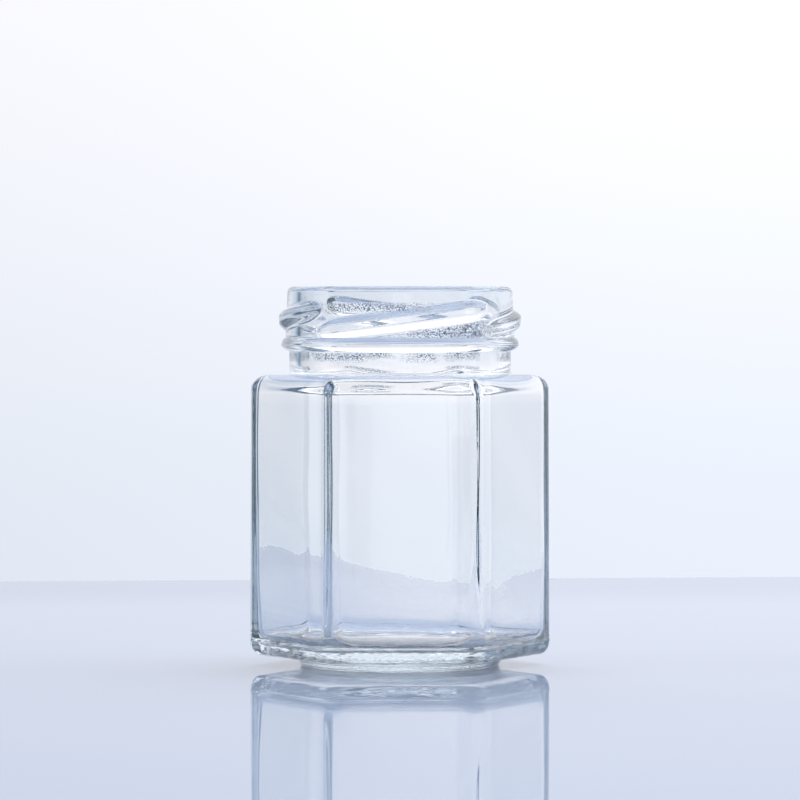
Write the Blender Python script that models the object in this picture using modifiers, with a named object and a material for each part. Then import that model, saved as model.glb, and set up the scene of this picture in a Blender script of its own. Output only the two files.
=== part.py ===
"""An empty hexagonal glass jar with a twist-off neck, in metres with +Z up.

The origin is under the middle of the jar, on the surface that it stands on. The front flat faces -Y,
and two corners lie on the X axis. The jar is one piece of glass, so it is one object. Its outside is
a six-sided body, a turned neck and four slanting lugs joined together, and its hollows are cut out.
"""

import math

import bmesh
import bpy
from mathutils import Matrix

MM = 0.001

# Driving dimensions of the body
JAR_HEIGHT = 72.3 * MM
SHOULDER_HEIGHT = 55.5 * MM
FLATS_TOP = 50.0 * MM
FLATS_BOTTOM = 50.3 * MM
CORNER_ROUND = 3.0 * MM
SHOULDER_ROUND = 2.5 * MM
HEEL_ROUND = 2.3 * MM
SIDES = 6

# Glass thickness and the body's hollow
WALL = 2.1 * MM
SHOULDER_THICKNESS = 2.2 * MM
FLOOR_HEIGHT = 4.2 * MM
FLOOR_DOME = 0.8 * MM
FLOOR_DOME_RADIUS = 19.0 * MM
HOLLOW_CORNER_ROUND = 2.8 * MM
HOLLOW_TOP_ROUND = 2.0 * MM
HOLLOW_FLOOR_ROUND = 2.6 * MM

# Mould seam above the heel
SEAM_HEIGHT = 4.7 * MM
SEAM_WIDTH = 0.7 * MM
SEAM_STEP = 0.15 * MM

# Underside: a round foot with a flat ring to stand on, and a push-up inside the ring
HEEL_HEIGHT = 1.9 * MM
FOOT_ROUND = 0.9 * MM
FOOT_FLARE = 0.5 * MM
BEARING_INNER = 17.2 * MM
BEARING_OUTER = 18.3 * MM
PUSH_UP = 1.6 * MM

# Neck finish, radii and heights
LIP_RADIUS = 21.5 * MM
LIP_ROUND = 1.1 * MM
BORE_RADIUS = 19.1 * MM
BORE_LIP_ROUND = 1.0 * MM
BORE_FOOT_ROUND = 3.0 * MM
WALL_FOOT_RADIUS = 21.85 * MM
WALL_FOOT_GAP = 0.4 * MM
BEAD_RADIUS = 22.7 * MM
BEAD_MIDDLE = 61.3 * MM
BEAD_HALF_HEIGHT = 1.3 * MM
NECK_RADIUS = 21.15 * MM
NECK_FOOT_ROUND = 0.5 * MM

# Twist-off lugs
LUG_COUNT = 4
LUG_REACH = 23.1 * MM
LUG_THICKNESS = 4.2 * MM
LUG_SPAN = math.radians(92)
LUG_RISE = 4.3 * MM
LUG_HEIGHT = 66.15 * MM
LUG_TAPER = math.radians(15)
LUG_END_THICKNESS = 1.0 * MM
LUG_POINTS = 15

# Fineness
TURN_STEPS = 64
CORNER_SEGMENTS = 5
EDGE_SEGMENTS = 4
ARC_SEGMENTS = 5
WALL_RINGS = 5
OVERLAP = 3.0 * MM
TANGENT_GAP = 0.06 * MM
SHARP_ANGLE = math.radians(35)


def clear_scene():
    for old in list(bpy.data.objects):
        bpy.data.objects.remove(old, do_unlink=True)


def new_collection(name):
    collection = bpy.data.collections.new(name)
    bpy.context.scene.collection.children.link(collection)
    return collection


def clear_glass():
    material = bpy.data.materials.new("clear_glass")
    material.use_nodes = True
    shader = material.node_tree.nodes["Principled BSDF"]
    shader.inputs["Base Color"].default_value = (0.93, 0.96, 0.97, 1.0)
    shader.inputs["Metallic"].default_value = 0.0
    shader.inputs["Roughness"].default_value = 0.03
    shader.inputs["IOR"].default_value = 1.52
    shader.inputs["Transmission Weight"].default_value = 1.0
    return material


def add_object(name, mesh, collection, material):
    mesh.shade_smooth()
    mesh.set_sharp_from_angle(angle=SHARP_ANGLE)
    made = bpy.data.objects.new(name, mesh)
    made.data.materials.append(material)
    collection.objects.link(made)
    return made


def as_tool(tool):
    tool.hide_render = True
    tool.display_type = "WIRE"
    return tool


def arc(centre, radius, start, end, segments=ARC_SEGMENTS):
    """Points (r, z) on an arc, with its angles in degrees."""
    points = []
    for step in range(segments + 1):
        angle = math.radians(start + (end - start) * step / segments)
        points.append((centre[0] + radius * math.cos(angle), centre[1] + radius * math.sin(angle)))
    return points


def edges_at(bm, test):
    return [edge for edge in bm.edges if test(edge.verts[0].co, edge.verts[1].co)]


def round_edges(bm, edges, offset, segments):
    bmesh.ops.bevel(bm, geom=edges, offset=offset, offset_type="OFFSET", segments=segments, profile=0.5,
                    affect="EDGES", clamp_overlap=True)


def hexagonal_form(name, flats, heights, corner_round, top_round, bottom_round):
    """A six-sided prism with rounded corners and rims. flats and heights are (bottom, top)."""
    bm = bmesh.new()
    to_corner = 0.5 / math.cos(math.pi / SIDES)
    depth = heights[1] - heights[0]
    corner_on_x = Matrix.Rotation(math.pi / SIDES, 4, "Z")
    middle = Matrix.Translation((0.0, 0.0, heights[0] + depth / 2))
    bmesh.ops.create_cone(bm, cap_ends=True, cap_tris=False, segments=SIDES, radius1=flats[0] * to_corner,
                          radius2=flats[1] * to_corner, depth=depth, matrix=middle @ corner_on_x)
    between = depth / 2
    upright = edges_at(bm, lambda a, b: abs(a.z - b.z) > between)
    round_edges(bm, upright, corner_round * math.tan(math.pi / SIDES), CORNER_SEGMENTS)
    near = depth / 100
    top_rim = edges_at(bm, lambda a, b: min(a.z, b.z) > heights[1] - near)
    round_edges(bm, top_rim, top_round, EDGE_SEGMENTS)
    bottom_rim = edges_at(bm, lambda a, b: max(a.z, b.z) < heights[0] + near)
    round_edges(bm, bottom_rim, bottom_round, EDGE_SEGMENTS)
    mesh = bpy.data.meshes.new(name)
    bm.to_mesh(mesh)
    bm.free()
    return mesh


def turned_form(name, profile, collection, material):
    """A Screw modifier turns the profile's (r, z) points round the Z axis, outer side top to bottom."""
    mesh = bpy.data.meshes.new(name)
    points = [(r, 0.0, z) for r, z in profile]
    edges = [(index, index + 1) for index in range(len(points) - 1)]
    mesh.from_pydata(points, edges, [])
    form = bpy.data.objects.new(name, mesh)
    form.data.materials.append(material)
    collection.objects.link(form)
    screw = form.modifiers.new("turn", "SCREW")
    screw.axis = "Z"
    screw.angle = math.tau
    screw.steps = TURN_STEPS
    screw.render_steps = TURN_STEPS
    screw.use_merge_vertices = True
    screw.merge_threshold = 0.00001
    screw.use_smooth_shade = True
    return form


def neck_profile():
    """The solid neck from its lip down to a plug inside the shoulder."""
    top = [(0.0, JAR_HEIGHT)]
    lip = arc((LIP_RADIUS - LIP_ROUND, JAR_HEIGHT - LIP_ROUND), LIP_ROUND, 90, 0)
    wall_foot = BEAD_MIDDLE + BEAD_HALF_HEIGHT + WALL_FOOT_GAP
    wall_top = JAR_HEIGHT - LIP_ROUND
    wall = []
    for step in range(1, WALL_RINGS + 1):
        share = step / WALL_RINGS
        radius = LIP_RADIUS + (WALL_FOOT_RADIUS - LIP_RADIUS) * share
        wall.append((radius, wall_top + (wall_foot - wall_top) * share))
    bead = []
    for angle in range(75, -76, -25):
        bulge = math.cos(math.radians(angle))
        level = math.sin(math.radians(angle))
        root = WALL_FOOT_RADIUS if angle > 0 else NECK_RADIUS
        bead.append((root + (BEAD_RADIUS - root) * bulge, BEAD_MIDDLE + BEAD_HALF_HEIGHT * level))
    foot_centre = (NECK_RADIUS + NECK_FOOT_ROUND, SHOULDER_HEIGHT + NECK_FOOT_ROUND - TANGENT_GAP)
    foot = arc(foot_centre, NECK_FOOT_ROUND, 180, 255)
    plug_radius = foot[-1][0]
    plug_bottom = SHOULDER_HEIGHT - OVERLAP
    return top + lip + wall + bead + foot + [(plug_radius, plug_bottom), (0.0, plug_bottom)]


def bore_profile():
    """The neck's hollow, flared at the lip and where it opens into the body."""
    clear_top = JAR_HEIGHT + OVERLAP
    lip_centre = (BORE_RADIUS + BORE_LIP_ROUND, JAR_HEIGHT - BORE_LIP_ROUND + 2 * TANGENT_GAP)
    lip = arc(lip_centre, BORE_LIP_ROUND, 115, 180)
    ceiling = SHOULDER_HEIGHT - SHOULDER_THICKNESS
    foot_centre = (BORE_RADIUS + BORE_FOOT_ROUND, ceiling + BORE_FOOT_ROUND - 2 * TANGENT_GAP)
    foot = arc(foot_centre, BORE_FOOT_ROUND, 180, 250)
    bottom = ceiling - OVERLAP
    start = [(0.0, clear_top), (lip[0][0] + BORE_LIP_ROUND, clear_top)]
    return start + lip + foot + [(foot[-1][0], bottom), (0.0, bottom)]


def foot_profile():
    """The round foot under the body, its flared upper part sunk in the glass."""
    top_radius = BEARING_OUTER + FOOT_ROUND + FOOT_FLARE
    sunk = HEEL_HEIGHT + FLOOR_DOME
    edge = arc((BEARING_OUTER, FOOT_ROUND), FOOT_ROUND, 0, -90)
    return [(0.0, sunk), (top_radius, sunk)] + edge + [(0.0, 0.0)]


def push_up_profile():
    """Half an ellipse on a short upright step, inside the flat ring."""
    step_height = 2 * TANGENT_GAP
    points = []
    for step in range(ARC_SEGMENTS + 2):
        angle = math.pi / 2 * step / (ARC_SEGMENTS + 1)
        height = step_height + (PUSH_UP - step_height) * math.cos(angle)
        points.append((BEARING_INNER * math.sin(angle), height))
    return points + [(BEARING_INNER, -OVERLAP), (0.0, -OVERLAP)]


def floor_dome_profile():
    """A shallow cap on the inside floor, its foot sunk in the glass."""
    foot = FLOOR_HEIGHT - FLOOR_DOME / 2
    rise = FLOOR_HEIGHT + FLOOR_DOME - foot
    sunk = foot - FLOOR_DOME
    points = []
    for step in range(ARC_SEGMENTS + 1):
        share = step / ARC_SEGMENTS
        points.append((FLOOR_DOME_RADIUS * share, foot + rise * (1 - share * share)))
    return points + [(FLOOR_DOME_RADIUS, sunk), (0.0, sunk)]


def lug_mesh(name, middle_angle):
    """A slanting ridge that rises to the right, with its tapered ends sunk in the neck's wall."""
    curve = bpy.data.curves.new(name, "CURVE")
    curve.dimensions = "3D"
    curve.bevel_depth = LUG_THICKNESS / 2
    curve.bevel_resolution = 3
    curve.use_fill_caps = True
    spline = curve.splines.new("POLY")
    spline.points.add(LUG_POINTS - 1)
    centre_radius = LUG_REACH - LUG_THICKNESS / 2
    for index in range(LUG_POINTS):
        share = index / (LUG_POINTS - 1) - 0.5
        angle = middle_angle + LUG_SPAN * share
        to_end = LUG_SPAN * (0.5 - abs(share))
        fullness = math.sin(math.pi / 2 * min(1.0, to_end / LUG_TAPER))
        end_size = LUG_END_THICKNESS / LUG_THICKNESS
        point = spline.points[index]
        height = LUG_HEIGHT + LUG_RISE * share
        point.co = (centre_radius * math.cos(angle), centre_radius * math.sin(angle), height, 1.0)
        point.radius = end_size + (1.0 - end_size) * fullness
    guide = bpy.data.objects.new(name, curve)
    bpy.context.scene.collection.objects.link(guide)
    bpy.context.view_layer.update()
    shaped = guide.evaluated_get(bpy.context.evaluated_depsgraph_get())
    mesh = bpy.data.meshes.new_from_object(shaped)
    bpy.data.objects.remove(guide, do_unlink=True)
    bm = bmesh.new()
    bm.from_mesh(mesh)
    bmesh.ops.remove_doubles(bm, verts=bm.verts, dist=0.00001)
    bmesh.ops.recalc_face_normals(bm, faces=bm.faces)
    bm.to_mesh(mesh)
    bm.free()
    return mesh


def add_outer_forms(collection, glass):
    as_tool(turned_form("neck_form", neck_profile(), collection, glass))
    as_tool(turned_form("foot_form", foot_profile(), collection, glass))
    seam_flats = FLATS_BOTTOM + 2 * SEAM_STEP
    seam_heights = (SEAM_HEIGHT - SEAM_WIDTH / 2, SEAM_HEIGHT + SEAM_WIDTH / 2)
    seam = hexagonal_form("seam_form", (seam_flats, seam_flats), seam_heights, CORNER_ROUND + SEAM_STEP,
                          SEAM_STEP, SEAM_STEP)
    as_tool(add_object("seam_form", seam, collection, glass))
    for index in range(LUG_COUNT):
        name = f"lug_form_{index + 1}"
        front = -math.pi / 2
        middle_angle = front + math.tau * index / LUG_COUNT
        as_tool(add_object(name, lug_mesh(name, middle_angle), collection, glass))


def add_hollows(collection, glass):
    hollow_flats = (FLATS_BOTTOM - 2 * WALL, FLATS_TOP - 2 * WALL)
    hollow_heights = (FLOOR_HEIGHT, SHOULDER_HEIGHT - SHOULDER_THICKNESS)
    hollow = hexagonal_form("body_hollow", hollow_flats, hollow_heights, HOLLOW_CORNER_ROUND,
                            HOLLOW_TOP_ROUND, HOLLOW_FLOOR_ROUND)
    as_tool(add_object("body_hollow", hollow, collection, glass))
    as_tool(turned_form("neck_bore", bore_profile(), collection, glass))
    as_tool(turned_form("push_up", push_up_profile(), collection, glass))


def add_boolean(jar, name, operation, tools):
    cut = jar.modifiers.new(name, "BOOLEAN")
    cut.operation = operation
    cut.operand_type = "COLLECTION"
    cut.collection = tools
    cut.solver = "EXACT"


def build_jar():
    clear_scene()
    glass = clear_glass()
    jar_collection = new_collection("hexagonal_jar")
    outer_forms = new_collection("outer_forms")
    hollows = new_collection("hollows")
    floor_forms = new_collection("floor_forms")
    add_outer_forms(outer_forms, glass)
    add_hollows(hollows, glass)
    as_tool(turned_form("floor_dome", floor_dome_profile(), floor_forms, glass))
    body = hexagonal_form("jar", (FLATS_BOTTOM, FLATS_TOP), (HEEL_HEIGHT, SHOULDER_HEIGHT),
                          CORNER_ROUND, SHOULDER_ROUND, HEEL_ROUND)
    jar = add_object("jar", body, jar_collection, glass)
    add_boolean(jar, "join_outer_forms", "UNION", outer_forms)
    add_boolean(jar, "cut_hollows", "DIFFERENCE", hollows)
    add_boolean(jar, "join_floor_dome", "UNION", floor_forms)


build_jar()
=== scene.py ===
import math

import bpy
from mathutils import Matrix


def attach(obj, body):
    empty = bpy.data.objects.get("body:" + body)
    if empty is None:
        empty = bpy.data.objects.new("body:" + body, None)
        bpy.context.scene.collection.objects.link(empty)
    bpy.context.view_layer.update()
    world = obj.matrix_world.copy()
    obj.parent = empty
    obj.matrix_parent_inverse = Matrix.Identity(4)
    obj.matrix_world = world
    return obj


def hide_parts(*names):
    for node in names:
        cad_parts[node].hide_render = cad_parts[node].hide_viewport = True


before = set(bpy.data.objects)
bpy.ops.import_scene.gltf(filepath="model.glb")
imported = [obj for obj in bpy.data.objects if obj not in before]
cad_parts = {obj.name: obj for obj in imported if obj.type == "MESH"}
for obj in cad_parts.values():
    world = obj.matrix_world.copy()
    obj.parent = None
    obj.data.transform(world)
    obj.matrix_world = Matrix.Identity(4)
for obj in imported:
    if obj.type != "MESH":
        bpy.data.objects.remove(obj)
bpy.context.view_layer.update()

MM = 0.001


def mm(*values):
    return tuple(value * MM for value in values)


def degrees(*values):
    return tuple(math.radians(value) for value in values)


SIDES = 6
CORNER_STEP = math.tau / SIDES

# Body, in metres, close to the solid's sizes, with wider rounding at the shoulder's corners
HALF_FLATS_TOP = 25.0 * MM
HALF_FLATS_BOTTOM = 25.15 * MM
CORNER_ROUND = 3.0 * MM
SHOULDER_HEIGHT = 55.5 * MM
SHOULDER_ROUND = 2.74 * MM
SHOULDER_RISE = 0.17 * MM
SHOULDER_CORNER_ROUND = 7.5 * MM
HEEL_BOTTOM = 1.95 * MM
HEEL_INSET = 2.2 * MM
HEEL_RISE = 2.5 * MM
SEAM_HEIGHT = 4.75 * MM
SEAM_STEP = 0.13 * MM
SEAM_HALF_WIDTH = 0.3 * MM
SEAM_SHARES = (-0.7, -0.35, 0.0, 0.35, 0.7, 1.0)

# Underside
PUSH_UP = 1.6 * MM
PUSH_UP_EDGE = 0.1 * MM
BEARING_INNER = 17.2 * MM
BEARING_EDGE = 0.15 * MM
BEARING_OUTER = 18.3 * MM
FOOT_ROUND = 0.9 * MM
FOOT_FLARE = 0.5 * MM
UNDERSIDE_SLOPE = 0.25 * MM

# Inside
WALL = 2.15 * MM
FOOT_THICKENING = 0.73 * MM
THICK_SIDE = math.radians(167)
BORE_BOTTOM = 57.63 * MM
HOLLOW_TOP = 51.67 * MM
FLARE_SHARE = (0.3, 0.424)
CEILING_SAG = 0.39 * MM
FLOOR_HEIGHT = 4.2 * MM
FLOOR_ROUND = 3.0 * MM
FLOOR_DOME = 0.8 * MM

# The inner corners widen towards the floor's from the lower part of the wall on
FLOOR_CORNER_ROUND = 8.5 * MM
CORNER_GROWTH = 1.2
CORNER_DELAY = 0.7

# Uneven inner corners, counted round from the X axis; each spread is in degrees
INNER_CORNER_ROUNDS = mm(2.6, 2.4, 2.2, 2.0, 1.6, 1.2)
INNER_CORNER_GLASS = mm(0.0, 0.0, 0.0, 0.0, 0.7, 0.4)
INNER_CORNER_SPREAD = (12.0, 12.0, 12.0, 12.0, 12.0, 6.0)
INNER_CORNER_WAVE = 0.12
INNER_CORNER_WAVE_LENGTH = 26.0 * MM
INNER_CORNER_WAVE_TURN = 2.3

# Waves of the inner skin: share of the depth, lobes round the jar, lean with height and turn
SKIN_WAVE = 0.048 * MM
SKIN_WAVE_LENGTH = 34.6 * MM
SKIN_WAVES = (
    (1.0, 3, 1.0, 3.9),
    (0.115, 5, -1.5, 0.54),
    (0.15, 9, 2.2, -1.75),
)

# Neck
JAR_HEIGHT = 72.3 * MM
LIP_RADIUS = 21.5 * MM
LIP_ROUND = 1.1 * MM
BORE_RADIUS = 19.1 * MM
BORE_LIP_ROUND = 1.0 * MM
WALL_FOOT_RADIUS = 21.85 * MM
NECK_RADIUS = 21.15 * MM
NECK_FOOT_ROUND = 0.5 * MM
NECK_FOOT_TOP = SHOULDER_HEIGHT + SHOULDER_RISE + NECK_FOOT_ROUND
NECK_SHARE = 0.97
BEAD_RADIUS = 22.7 * MM
BEAD_MIDDLE = 61.3 * MM
BEAD_HALF_HEIGHT = 1.3 * MM
BEAD_SHARPNESS = 1.5

# Lugs
LUG_COUNT = 4
LUG_REACH = 23.1 * MM
LUG_HEIGHT = 66.15 * MM
LUG_RISE = 4.3 * MM
LUG_SPAN = math.radians(92)
LUG_TAPER = math.radians(12)
LUG_ABOVE = 1.9 * MM
LUG_BELOW = 2.5 * MM
LUG_CREST = 0.3
LUG_END_HEIGHT = 0.45
LUG_ZONE_BOTTOM = 62.8 * MM
LUG_ZONE_TOP = 70.6 * MM

# Fineness of the mesh
COLUMNS_PER_CORNER = 60
COLUMN_EVENNESS = 0.2
UNDERSIDE_RINGS = 12
FOOT_RINGS = 8
HEEL_RINGS = 12
WALL_RINGS = 26
SHOULDER_RINGS = 5
NECK_FOOT_RINGS = 6
NECK_RINGS = 3
BEAD_RINGS = 14
LUG_RINGS = 36
BORE_RINGS = 12
FLOOR_RINGS = 10
ARC_RINGS = 10

# Camera, worked out from the photograph's perspective
EYE_DISTANCE = 0.850
EYE_HEIGHT = 0.0716
EYE_TURN = math.radians(1.6)
EYE_PITCH = math.radians(1.415)
LENS = 200.4
SENSOR_WIDTH = 36.0
CLIP_END = 20.0

# Glass
GLASS_IOR = 1.52
GLASS_TINT = (0.50, 0.71, 0.80)
GLASS_DENSITY = 9.0

# Surface of the glass: depths, and noise as a scale with a detail
STIPPLE_DEPTH = 0.2 * MM
STREAK_DEPTH = 0.2 * MM
SKIN_DEPTH = 0.0015 * MM
GRAIN_NOISE = (3900.0, 0.0)
PATCH_NOISE = (120.0, 1.0)
STREAK_NOISE = (800.0, 2.0)
SKIN_NOISE = (900.0, 1.0)
GRAIN_SHARE = (0.44, 0.60)
PATCH_SHARE = (0.46, 0.56)
# Painted shade: the next two give dark specks in the neck's stipple, standing for the dark refractions
# of its grains
PAINTED_SHADE_SPECK_SHARE = (0.52, 0.58)
PAINTED_SHADE_SPECK_COLOUR = (0.05, 0.10, 0.16)
STREAK_STRETCH = (0.25, 0.25, 1.0)

# Zones of that surface: where each soft edge starts and ends, the low edge first
OUTSIDE_RADIUS = mm(20.2, 20.8)
NEAR_SIDE_Y = mm(-8.0, -4.0)
ABOVE_LUG_Z = mm(67.2, 67.8, 68.7, 69.3)
ABOVE_LUG_X = mm(-14.5, -13.0, 0.0, 7.0)
UNDER_LUG_FOOT = mm(62.3, 62.9)
UNDER_LUG_TOP = mm(63.4, 64.0)
UNDER_LUG_X = mm(-4.0, 4.0, 14.0, 18.0)
LUG_SLOPE = 0.13
UNDER_BEAD_Z = mm(58.0, 58.8, 59.4, 59.9)
RING_Z = mm(1.7, 2.0)
RING_RADIUS = mm(16.6, 17.0)
HEEL_Z = mm(1.6, 2.2, 4.6, 6.5)

# Room light: a wide lit wall behind the jar, a narrow one to each side, and a dim room in front.
# Angles are measured round the jar, and the other edges are parts of a direction of length one.
BACK_WALL_EDGE = degrees(28.0, 46.0)
SIDE_WALL_EDGE = degrees(8.0, 13.0)
SIDE_WALL_LEVEL = 0.96
LEFT_LEVEL = 0.20
RIGHT_LEVEL = 0.98
LEFT_TO_RIGHT = (-0.5, 0.5)
FRONT_LEVEL = 0.09
FRONT_TO_BACK = (-0.35, 0.25)
CAMERA_WALL_LEVEL = 1.0
CAMERA_WALL_EDGE = degrees(166.0, 172.0)
CAMERA_WALL_WIDE_EDGE = degrees(95.0, 120.0)
CAMERA_WALL_STEP = (-0.018, -0.010)
CAMERA_WALL_TOP = (0.12, 0.25)
SKY_LEVEL = 1.7
SKY_EDGE = (0.2, 0.6)
ABOVE_LEVEL = 3.4
ABOVE_EDGE = (0.89, 0.94)
ABOVE_FRONT_EDGE = (-0.05, 0.05)
BELOW_EDGE = (-0.17, -0.09)
ACROSS_EDGE = (-0.12, 0.12)
ACROSS_LEVEL = (0.925, 1.02)

# Colours of the room, and the levels of light at which they change
WALL_LOW = (0.80, 0.86, 0.96)
WALL_HIGH = (1.02, 1.02, 1.07)
WALL_COLOUR_EDGE = (-0.08, 0.08)
ROOM_COLOUR = (0.47, 0.76, 1.10)
DIM_COLOUR = (0.76, 0.89, 1.07)
DIM_EDGE = (0.35, 0.75)
LIT_EDGE = (0.6, 0.92)

# Table
TABLE_SIZE = (0.60, 0.56)
TABLE_THICKNESS = 0.012
TABLE_EDGE_ROUND = 0.003
TABLE_BACK_EDGE = 0.254
TABLE_TURN = math.radians(3.4)
TABLE_COLOUR = (0.48, 0.57, 0.735)
# Painted reflection: the next two darken the table towards its back edge, standing for the darker
# mirrored backdrop there
TABLE_PAINTED_REFLECTION_COLOUR = (0.34, 0.44, 0.62)
TABLE_PAINTED_REFLECTION_FADE = (0.110, 0.030)
TABLE_ROUGHNESS = 0.02
TABLE_IOR = 1.13


def nearest_corner(theta):
    return round(theta / CORNER_STEP) % SIDES


def from_nearest_corner(theta):
    return (theta + CORNER_STEP / 2) % CORNER_STEP - CORNER_STEP / 2


def rounded_hexagon(theta, half_flats, corner_round):
    """Distance from the axis to a rounded hexagon with corners on the X axis."""
    away = abs(from_nearest_corner(theta))
    half_step = CORNER_STEP / 2
    arc_centre = (half_flats - corner_round) / math.cos(half_step)
    tangent = half_step - math.atan(arc_centre * math.sin(half_step) / half_flats)
    if away >= tangent:
        return half_flats / math.cos(half_step - away)
    across = arc_centre * math.sin(away)
    return arc_centre * math.cos(away) + math.sqrt(max(0.0, corner_round ** 2 - across ** 2))


def column_angles():
    """Angles round the jar, closer together near the corners."""
    angles = []
    for corner in range(SIDES):
        for index in range(COLUMNS_PER_CORNER):
            share = 2 * index / COLUMNS_PER_CORNER - 1
            eased = COLUMN_EVENNESS * share + (1 - COLUMN_EVENNESS) * share ** 3
            angles.append(CORNER_STEP * (corner + eased / 2))
    return angles


def steps(count, first=0):
    return [index / count for index in range(first, count + 1)]


def hexagon_ring(half_flats, corner_round, height):
    return lambda theta: (rounded_hexagon(theta, half_flats, corner_round), height)


def round_ring(radius, height):
    return lambda theta: (radius, height)


def blended_ring(roundness, half_flats, corner_round, radius, height):
    """A ring that is a hexagon at roundness 0 and a circle at 1."""
    def ring(theta):
        hexagon = rounded_hexagon(theta, half_flats, corner_round)
        return hexagon + (radius - hexagon) * roundness, height
    return ring


def lug_swell(theta, height):
    """How far the lugs stand out of the neck's wall here, from 0 to 1."""
    swell = 0.0
    for index in range(LUG_COUNT):
        middle = -math.pi / 2 + math.tau * index / LUG_COUNT
        away = (theta - middle + math.pi) % math.tau - math.pi
        to_end = LUG_SPAN / 2 - abs(away)
        if to_end <= 0:
            continue
        fullness = math.sin(math.pi / 2 * min(1.0, to_end / LUG_TAPER))
        crest = LUG_HEIGHT + LUG_RISE * away / LUG_SPAN
        reach = LUG_ABOVE if height > crest else LUG_BELOW
        off = abs(height - crest) / (reach * (LUG_END_HEIGHT + (1 - LUG_END_HEIGHT) * fullness))
        if off >= 1:
            continue
        slope = max(0.0, off - LUG_CREST) / (1 - LUG_CREST)
        swell = max(swell, fullness * 0.5 * (1 + math.cos(math.pi * slope)))
    return swell


def lug_ring(height):
    span = LUG_ZONE_TOP - LUG_ZONE_BOTTOM
    wall = WALL_FOOT_RADIUS + (LIP_RADIUS - WALL_FOOT_RADIUS) * (height - LUG_ZONE_BOTTOM) / span
    return lambda theta: (wall + (LUG_REACH - wall) * lug_swell(theta, height), height)


def underside_rings():
    rings = []
    for share in steps(UNDERSIDE_RINGS, 1):
        angle = math.pi / 2 * share
        height = max(PUSH_UP_EDGE, PUSH_UP * math.cos(angle))
        rings.append(round_ring(BEARING_INNER * math.sin(angle), height))
    rings.append(round_ring(BEARING_INNER + BEARING_EDGE, 0.0))
    for share in steps(FOOT_RINGS):
        angle = math.pi / 2 * share
        radius = BEARING_OUTER + FOOT_ROUND * math.sin(angle)
        rings.append(round_ring(radius, FOOT_ROUND * (1 - math.cos(angle))))
    foot_top = BEARING_OUTER + FOOT_ROUND + FOOT_FLARE
    half_flats = HALF_FLATS_BOTTOM - HEEL_INSET
    corner = CORNER_ROUND - HEEL_INSET
    for share in steps(FOOT_RINGS)[:-1]:
        height = HEEL_BOTTOM - UNDERSIDE_SLOPE * (1 - share) ** 4
        rings.append(blended_ring(1 - share, half_flats, corner, foot_top, height))
    return rings


def heel_rings():
    rings = []
    for share in steps(HEEL_RINGS):
        angle = math.pi / 2 * share
        inset = HEEL_INSET * (1 - math.sin(angle))
        height = HEEL_BOTTOM + HEEL_RISE * (1 - math.cos(angle))
        rings.append(hexagon_ring(HALF_FLATS_BOTTOM - inset, CORNER_ROUND - inset, height))
    for share in SEAM_SHARES:
        step_out = SEAM_STEP * math.cos(math.pi / 2 * share)
        height = SEAM_HEIGHT + SEAM_HALF_WIDTH * share
        rings.append(hexagon_ring(HALF_FLATS_BOTTOM + step_out, CORNER_ROUND + step_out, height))
    return rings


def wall_rings():
    rings = []
    bottom = SEAM_HEIGHT + 2 * SEAM_HALF_WIDTH
    top = SHOULDER_HEIGHT - SHOULDER_ROUND
    for share in steps(WALL_RINGS):
        half_flats = HALF_FLATS_BOTTOM + (HALF_FLATS_TOP - HALF_FLATS_BOTTOM) * share
        rings.append(hexagon_ring(half_flats, CORNER_ROUND, bottom + (top - bottom) * share))
    return rings


def shoulder_rings():
    rings = []
    for share in steps(ARC_RINGS, 1):
        angle = math.pi / 2 * share
        inset = SHOULDER_ROUND * (1 - math.cos(angle))
        height = SHOULDER_HEIGHT - SHOULDER_ROUND * (1 - math.sin(angle))
        corner = CORNER_ROUND + (SHOULDER_CORNER_ROUND - CORNER_ROUND) * inset / SHOULDER_ROUND
        rings.append(hexagon_ring(HALF_FLATS_TOP - inset, corner, height))
    half_flats = HALF_FLATS_TOP - SHOULDER_ROUND
    foot_radius = NECK_RADIUS + NECK_FOOT_ROUND
    for share in steps(SHOULDER_RINGS, 1):
        height = SHOULDER_HEIGHT + SHOULDER_RISE * share
        rings.append(blended_ring(share, half_flats, SHOULDER_CORNER_ROUND, foot_radius, height))
    for share in steps(NECK_FOOT_RINGS, 1):
        angle = math.pi / 2 * share
        radius = foot_radius - NECK_FOOT_ROUND * math.sin(angle)
        rings.append(round_ring(radius, NECK_FOOT_TOP - NECK_FOOT_ROUND * math.cos(angle)))
    return rings


def neck_rings():
    rings = []
    to_bead = BEAD_MIDDLE - BEAD_HALF_HEIGHT - NECK_FOOT_TOP
    for share in steps(NECK_RINGS, 1):
        rings.append(round_ring(NECK_RADIUS, NECK_FOOT_TOP + to_bead * share * NECK_SHARE))
    for share in steps(BEAD_RINGS):
        angle = math.pi * (share - 0.5)
        root = WALL_FOOT_RADIUS if angle > 0 else NECK_RADIUS
        bulge = math.cos(angle) ** BEAD_SHARPNESS
        height = BEAD_MIDDLE + BEAD_HALF_HEIGHT * math.sin(angle)
        rings.append(round_ring(root + (BEAD_RADIUS - root) * bulge, height))
    for share in steps(LUG_RINGS):
        rings.append(lug_ring(LUG_ZONE_BOTTOM + (LUG_ZONE_TOP - LUG_ZONE_BOTTOM) * share))
    return rings


def lip_rings():
    rings = []
    for share in steps(ARC_RINGS):
        angle = math.pi / 2 * share
        radius = LIP_RADIUS - LIP_ROUND * (1 - math.cos(angle))
        rings.append(round_ring(radius, JAR_HEIGHT - LIP_ROUND * (1 - math.sin(angle))))
    for share in steps(ARC_RINGS):
        angle = math.pi / 2 * share
        radius = BORE_RADIUS + BORE_LIP_ROUND * (1 - math.sin(angle))
        rings.append(round_ring(radius, JAR_HEIGHT - BORE_LIP_ROUND * (1 - math.cos(angle))))
    return rings


def bore_rings():
    rings = []
    top = JAR_HEIGHT - BORE_LIP_ROUND
    for share in steps(BORE_RINGS, 1):
        rings.append(round_ring(BORE_RADIUS, top + (BORE_BOTTOM - top) * share))
    return rings


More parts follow.
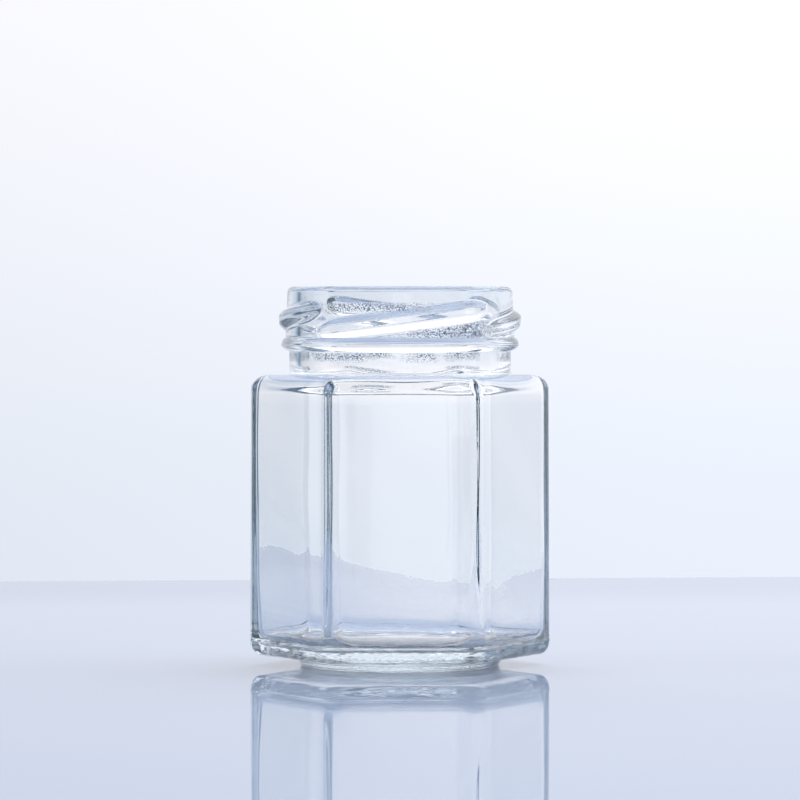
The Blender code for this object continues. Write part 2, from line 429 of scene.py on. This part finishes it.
def skin_wave(theta, height):
    """The slight unevenness of the inner skin, as blown glass has."""
    up = math.tau * height / SKIN_WAVE_LENGTH
    wave = 0.0
    for size, lobes, lean, turn in SKIN_WAVES:
        wave += size * math.sin(lobes * theta + lean * up + turn)
    return SKIN_WAVE * wave


def inner_corner(theta, height):
    """Rounding of the inner corner nearest to theta."""
    index = nearest_corner(theta)
    turn = INNER_CORNER_WAVE_TURN * index
    wave = math.sin(math.tau * height / INNER_CORNER_WAVE_LENGTH + turn)
    return INNER_CORNER_ROUNDS[index] * (1 + INNER_CORNER_WAVE * wave)


def corner_glass(theta):
    """Extra glass in the inner corner nearest to theta."""
    index = nearest_corner(theta)
    away = math.degrees(from_nearest_corner(theta)) / INNER_CORNER_SPREAD[index]
    return INNER_CORNER_GLASS[index] * math.exp(-away ** 2)


def inner_half_flats(share):
    """Half the width of the hollow. share runs from 0 under the ceiling to 1 at the floor."""
    outer = HALF_FLATS_TOP + (HALF_FLATS_BOTTOM - HALF_FLATS_TOP) * share

    def half_flats(theta):
        thick = (0.5 + 0.5 * math.cos(theta - THICK_SIDE)) ** 2
        return outer - WALL - FOOT_THICKENING * thick * share ** 3
    return half_flats


def less(half_flats, inset):
    return lambda theta: half_flats(theta) - inset


def ceiling_ring(outward, down):
    """Under the shoulder. outward and down run from 0 at the bore to 1 at the hollow's wall."""
    level = BORE_BOTTOM + (HOLLOW_TOP - BORE_BOTTOM) * down
    half_flats = inner_half_flats(0.0)

    def ring(theta):
        wall = rounded_hexagon(theta, half_flats(theta), inner_corner(theta, HOLLOW_TOP))
        wall += (skin_wave(theta, HOLLOW_TOP) - corner_glass(theta)) * outward
        hang = CEILING_SAG * math.sin(math.pi * down) * math.cos(2 * (theta + math.pi / 2))
        return BORE_RADIUS + (wall - BORE_RADIUS) * outward, level - hang
    return ring


def inner_ring(half_flats, roundness, height):
    """A ring of the hollow's wall. roundness leads from the wall's corners to the floor's."""
    def ring(theta):
        corner = inner_corner(theta, height)
        corner += (FLOOR_CORNER_ROUND - corner) * roundness
        skin = skin_wave(theta, height) - corner_glass(theta)
        return rounded_hexagon(theta, half_flats(theta), corner) + skin, height
    return ring


def floor_ring(half_flats, size, height):
    def ring(theta):
        radius = rounded_hexagon(theta, half_flats(theta), FLOOR_CORNER_ROUND)
        radius += skin_wave(theta, height) - corner_glass(theta)
        return radius * size, height
    return ring


def ceiling_rings():
    """Two quarter arcs: the flare out of the bore, then the turn down into the wall."""
    out, down = FLARE_SHARE
    rings = []
    for share in steps(ARC_RINGS, 1):
        angle = math.pi / 2 * share
        rings.append(ceiling_ring(out * (1 - math.cos(angle)), down * math.sin(angle)))
    for share in steps(ARC_RINGS, 1):
        angle = math.pi / 2 * share
        outward = out + (1 - out) * math.sin(angle)
        rings.append(ceiling_ring(outward, down + (1 - down) * (1 - math.cos(angle))))
    return rings


def inner_rings():
    rings = []
    bottom = FLOOR_HEIGHT + FLOOR_ROUND
    floor_flats = inner_half_flats(1.0)
    for share in steps(WALL_RINGS, 1):
        height = HOLLOW_TOP + (bottom - HOLLOW_TOP) * share
        roundness = max(0.0, share * CORNER_GROWTH - CORNER_DELAY) ** 2
        rings.append(inner_ring(inner_half_flats(share), roundness, height))
    for share in steps(ARC_RINGS, 1):
        angle = math.pi / 2 * share
        inset = FLOOR_ROUND * (1 - math.cos(angle))
        start = (CORNER_GROWTH - CORNER_DELAY) ** 2
        roundness = start + (1 - start) * share
        height = bottom - FLOOR_ROUND * math.sin(angle)
        rings.append(inner_ring(less(floor_flats, inset), roundness, height))
    for share in steps(FLOOR_RINGS, 1)[:-1]:
        height = FLOOR_HEIGHT + FLOOR_DOME * (1 - (1 - share) ** 2)
        rings.append(floor_ring(less(floor_flats, FLOOR_ROUND), 1 - share, height))
    return rings


def jar_mesh():
    """One closed skin: up the outside from the middle of the underside, then down the inside."""
    rings = underside_rings() + heel_rings() + wall_rings() + shoulder_rings() + neck_rings()
    rings += lip_rings() + bore_rings() + ceiling_rings() + inner_rings()
    angles = column_angles()
    count = len(angles)
    points = [(0.0, 0.0, PUSH_UP)]
    for ring in rings:
        for theta in angles:
            radius, height = ring(theta)
            points.append((radius * math.cos(theta), radius * math.sin(theta), height))
    points.append((0.0, 0.0, FLOOR_HEIGHT + FLOOR_DOME))
    faces = []
    for column in range(count):
        after = (column + 1) % count
        faces.append((0, 1 + after, 1 + column))
        for row in range(len(rings) - 1):
            low = 1 + row * count
            high = low + count
            faces.append((low + column, low + after, high + after, high + column))
        last = 1 + (len(rings) - 1) * count
        faces.append((last + column, last + after, len(points) - 1))
    mesh = bpy.data.meshes.new("jar_glass")
    mesh.from_pydata(points, [], faces)
    mesh.shade_smooth()
    return mesh


class NodeGraph:
    """Adds nodes to one node tree and joins them. A value is a number or another node's output."""

    def __init__(self, tree):
        self.nodes = tree.nodes
        self.links = tree.links

    def feed(self, socket, value):
        if isinstance(value, bpy.types.NodeSocket):
            self.links.new(value, socket)
        else:
            socket.default_value = value

    def coordinate(self, name):
        return self.nodes.new("ShaderNodeTexCoord").outputs[name]

    def split(self, vector):
        node = self.nodes.new("ShaderNodeSeparateXYZ")
        self.feed(node.inputs[0], vector)
        return node.outputs

    def math(self, operation, *values):
        node = self.nodes.new("ShaderNodeMath")
        node.operation = operation
        for socket, value in zip(node.inputs, values):
            self.feed(socket, value)
        return node.outputs[0]

    def both(self, first, second):
        return self.math("MULTIPLY", first, second)

    def ramp(self, value, low, high, out_low=0.0, out_high=1.0):
        """A smooth change from out_low to out_high between low and high."""
        node = self.nodes.new("ShaderNodeMapRange")
        node.interpolation_type = "SMOOTHSTEP"
        names = ("Value", "From Min", "From Max", "To Min", "To Max")
        for name, number in zip(names, (value, low, high, out_low, out_high)):
            self.feed(node.inputs[name], number)
        return node.outputs["Result"]

    def fall(self, value, low, high):
        return self.ramp(value, low, high, 1.0, 0.0)

    def band(self, value, rise_start, rise_end, fall_start, fall_end):
        return self.both(self.ramp(value, rise_start, rise_end), self.fall(value, fall_start, fall_end))

    def noise(self, vector, scale, detail):
        node = self.nodes.new("ShaderNodeTexNoise")
        self.feed(node.inputs["Vector"], vector)
        node.inputs["Scale"].default_value = scale
        node.inputs["Detail"].default_value = detail
        return node.outputs["Fac"]

    def colour_mix(self, factor, first, second):
        node = self.nodes.new("ShaderNodeMix")
        node.data_type = "RGBA"
        self.feed(node.inputs["Factor"], factor)
        for name, colour in (("A", first), ("B", second)):
            if isinstance(colour, tuple):
                colour = (*colour, 1.0)
            self.feed(node.inputs[name], colour)
        return node.outputs["Result"]

    def bump(self, height, depth, under=None):
        node = self.nodes.new("ShaderNodeBump")
        self.feed(node.inputs["Height"], height)
        node.inputs["Distance"].default_value = depth
        if under is not None:
            self.feed(node.inputs["Normal"], under)
        return node.outputs["Normal"]


def stipple_zones(graph, place):
    """Where the moulded stipple lies: on the neck, and on the standing ring. The neck's zone also holds
    the painted shade specks.
    """
    x, y, z = graph.split(place)
    radius = graph.math("SQRT", graph.math("ADD", graph.both(x, x), graph.both(y, y)))
    above_lug = graph.both(graph.band(z, *ABOVE_LUG_Z), graph.band(x, *ABOVE_LUG_X))
    # The lower patch ends at the lug's foot, which rises to the right
    from_lug = graph.math("SUBTRACT", z, graph.both(x, LUG_SLOPE))
    under_lug = graph.both(graph.ramp(z, *UNDER_LUG_FOOT), graph.fall(from_lug, *UNDER_LUG_TOP))
    under_lug = graph.both(under_lug, graph.band(x, *UNDER_LUG_X))
    by_lug = graph.both(graph.fall(y, *NEAR_SIDE_Y), graph.math("MAXIMUM", above_lug, under_lug))
    patches = graph.ramp(graph.noise(place, *PATCH_NOISE), *PATCH_SHARE)
    under_bead = graph.both(graph.band(z, *UNDER_BEAD_Z), patches)
    outside = graph.ramp(radius, *OUTSIDE_RADIUS)
    neck = graph.both(outside, graph.math("MAXIMUM", by_lug, under_bead))
    ring = graph.both(graph.fall(z, *RING_Z), graph.ramp(radius, *RING_RADIUS))
    return neck, ring


def heel_streaks(graph, place):
    """Uneven glass in the heel and the floor, drawn out along the jar's sides."""
    stretch = graph.nodes.new("ShaderNodeMapping")
    stretch.inputs["Scale"].default_value = STREAK_STRETCH
    graph.feed(stretch.inputs["Vector"], place)
    streaks = graph.noise(stretch.outputs["Vector"], *STREAK_NOISE)
    z = graph.split(place)[2]
    return graph.both(streaks, graph.band(z, *HEEL_Z))


def glass_material():
    material = bpy.data.materials.new("clear_glass")
    material.use_nodes = True
    graph = NodeGraph(material.node_tree)
    shader = graph.nodes["Principled BSDF"]
    shader.inputs["Roughness"].default_value = 0.0
    shader.inputs["IOR"].default_value = GLASS_IOR
    shader.inputs["Transmission Weight"].default_value = 1.0
    absorption = graph.nodes.new("ShaderNodeVolumeAbsorption")
    absorption.inputs["Color"].default_value = (*GLASS_TINT, 1.0)
    absorption.inputs["Density"].default_value = GLASS_DENSITY
    graph.feed(graph.nodes["Material Output"].inputs["Volume"], absorption.outputs["Volume"])
    place = graph.coordinate("Object")
    neck, ring = stipple_zones(graph, place)
    grain = graph.noise(place, *GRAIN_NOISE)
    # Painted shade: dark specks on the neck's stipple, standing for the dark refractions of its grains
    painted_shade_specks = graph.both(graph.ramp(grain, *PAINTED_SHADE_SPECK_SHARE), neck)
    graph.feed(shader.inputs["Base Color"], graph.colour_mix(painted_shade_specks, (1.0, 1.0, 1.0), PAINTED_SHADE_SPECK_COLOUR))
    stipple = graph.both(graph.ramp(grain, *GRAIN_SHARE), graph.math("MAXIMUM", neck, ring))
    normal = graph.bump(stipple, STIPPLE_DEPTH)
    normal = graph.bump(heel_streaks(graph, place), STREAK_DEPTH, normal)
    normal = graph.bump(graph.noise(place, *SKIN_NOISE), SKIN_DEPTH, normal)
    graph.feed(shader.inputs["Normal"], normal)
    return material


def table_material():
    material = bpy.data.materials.new("pale_table")
    material.use_nodes = True
    graph = NodeGraph(material.node_tree)
    shader = graph.nodes["Principled BSDF"]
    shader.inputs["Roughness"].default_value = TABLE_ROUGHNESS
    shader.inputs["IOR"].default_value = TABLE_IOR
    y = graph.split(graph.coordinate("Object"))[1]
    # Painted reflection: darker towards the back edge, standing for the darker mirrored backdrop there
    start, end = TABLE_PAINTED_REFLECTION_FADE
    painted_reflection_share = graph.ramp(y, TABLE_BACK_EDGE - start, TABLE_BACK_EDGE - end)
    colour = graph.colour_mix(painted_reflection_share, TABLE_COLOUR, TABLE_PAINTED_REFLECTION_COLOUR)
    graph.feed(shader.inputs["Base Color"], colour)
    return material


def add_table():
    bpy.ops.mesh.primitive_cube_add(size=1.0)
    table = bpy.context.object
    table.name = "table"
    for corner in table.data.vertices:
        corner.co.x *= TABLE_SIZE[0]
        corner.co.y = corner.co.y * TABLE_SIZE[1] + TABLE_BACK_EDGE - TABLE_SIZE[1] / 2
        corner.co.z = corner.co.z * TABLE_THICKNESS - TABLE_THICKNESS / 2
    table.rotation_euler = (0.0, 0.0, TABLE_TURN)
    edge = table.modifiers.new("edge", "BEVEL")
    edge.width = TABLE_EDGE_ROUND
    edge.segments = 4
    table.data.materials.append(table_material())


def world_light():
    world = bpy.data.worlds.new("studio")
    bpy.context.scene.world = world
    world.use_nodes = True
    graph = NodeGraph(world.node_tree)
    x, y, z = graph.split(graph.coordinate("Generated"))

    # Angles from straight back and from straight to either side
    sideways = graph.math("ABSOLUTE", x)
    from_back = graph.math("ARCTAN2", sideways, y)
    azimuth = graph.math("ARCTAN2", sideways, graph.math("ABSOLUTE", y))
    from_side = graph.math("ABSOLUTE", graph.math("SUBTRACT", math.pi / 2, azimuth))

    far_room = graph.ramp(x, *LEFT_TO_RIGHT, LEFT_LEVEL, RIGHT_LEVEL)
    back = graph.ramp(from_back, *BACK_WALL_EDGE, 1.0, far_room)
    side = graph.ramp(from_side, *SIDE_WALL_EDGE, SIDE_WALL_LEVEL, 0.0)

    # The wall behind the camera is wide above eye level and narrow below it
    camera_wall = graph.ramp(z, *CAMERA_WALL_TOP, CAMERA_WALL_LEVEL, FRONT_LEVEL)
    edges = []
    for narrow, wide in zip(CAMERA_WALL_EDGE, CAMERA_WALL_WIDE_EDGE):
        edges.append(graph.ramp(z, *CAMERA_WALL_STEP, narrow, wide))
    front = graph.ramp(from_back, *edges, FRONT_LEVEL, camera_wall)

    room = graph.math("MAXIMUM", graph.ramp(y, *FRONT_TO_BACK, front, back), side)
    above = graph.ramp(z, *ABOVE_EDGE, 0.0, ABOVE_LEVEL / SKY_LEVEL)
    above = graph.both(above, graph.ramp(y, *ABOVE_FRONT_EDGE))
    ends = graph.math("MAXIMUM", graph.fall(z, *BELOW_EDGE), above)
    sky = graph.ramp(z, *SKY_EDGE, 1.0, SKY_LEVEL)
    level = graph.both(sky, graph.math("MAXIMUM", room, ends))
    level = graph.both(level, graph.ramp(x, *ACROSS_EDGE, *ACROSS_LEVEL))

    wall_colour = graph.colour_mix(graph.ramp(z, *WALL_COLOUR_EDGE), WALL_LOW, WALL_HIGH)
    dim_colour = graph.colour_mix(graph.ramp(level, *DIM_EDGE), ROOM_COLOUR, DIM_COLOUR)
    colour = graph.colour_mix(graph.ramp(level, *LIT_EDGE), dim_colour, wall_colour)
    background = graph.nodes["Background"]
    graph.feed(background.inputs["Color"], colour)
    graph.feed(background.inputs["Strength"], level)


def add_camera():
    data = bpy.data.cameras.new("camera")
    data.lens = LENS
    data.sensor_width = SENSOR_WIDTH
    data.clip_end = CLIP_END
    camera = bpy.data.objects.new("camera", data)
    bpy.context.scene.collection.objects.link(camera)
    back = -EYE_DISTANCE * math.cos(EYE_TURN)
    camera.location = (-EYE_DISTANCE * math.sin(EYE_TURN), back, EYE_HEIGHT)
    camera.rotation_euler = (math.pi / 2 - EYE_PITCH, 0.0, -EYE_TURN)
    bpy.context.scene.camera = camera


def render_look():
    scene = bpy.context.scene
    scene.view_settings.view_transform = "Standard"
    scene.cycles.max_bounces = 32
    scene.cycles.transmission_bounces = 32
    scene.cycles.glossy_bounces = 16


jar = bpy.data.objects.new("jar_glass", jar_mesh())
bpy.context.scene.collection.objects.link(jar)
jar.data.materials.append(glass_material())
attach(jar, "root")
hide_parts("jar")
add_table()
world_light()
add_camera()
render_look()
